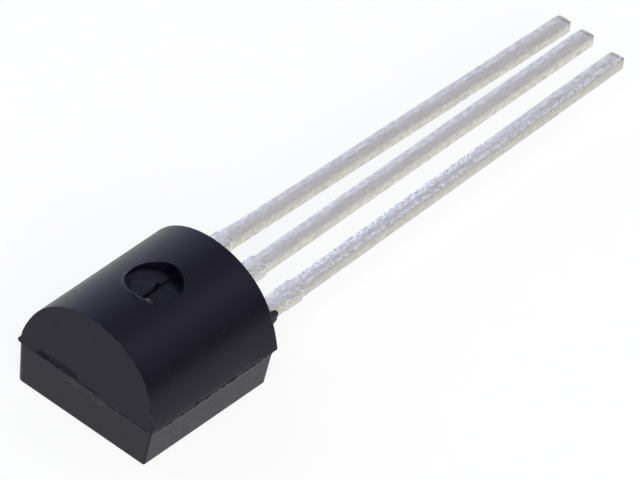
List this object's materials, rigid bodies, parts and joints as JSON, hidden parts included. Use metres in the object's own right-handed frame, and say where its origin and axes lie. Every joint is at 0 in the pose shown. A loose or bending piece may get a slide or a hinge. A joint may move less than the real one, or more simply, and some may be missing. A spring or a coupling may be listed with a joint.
{
  "type": "three-lead transistor in a D-shaped moulded package",
  "caption": "Small black D-shaped moulded package with a flat face and a domed back, and a row of straight tin-plated leads out of one end for a through-hole board.",
  "frame": {"origin": "on the flat face, below the middle of the dome and of the middle lead, and midway along the flat half of the moulding", "axes": "+Z out of the flat face towards the dome, +Y along the leads away from the moulding, +X across the row of leads"},
  "size_m": [0.0047, 0.0195, 0.0035],
  "materials": {
    "epoxy": "satin moulded black epoxy",
    "tin": "satin tin plate over stamped sheet",
    "silicon": "polished silicon",
    "solder": "dull solder",
    "gold": "bright drawn gold wire"
  },
  "bodies": {
    "root": {"body": "epoxy", "lead_left": "tin", "lead_middle": "tin", "lead_right": "tin", "die": "silicon", "die_attach": "solder", "bond_wire_left": "gold", "bond_wire_right": "gold"}
  },
  "joints": []
}
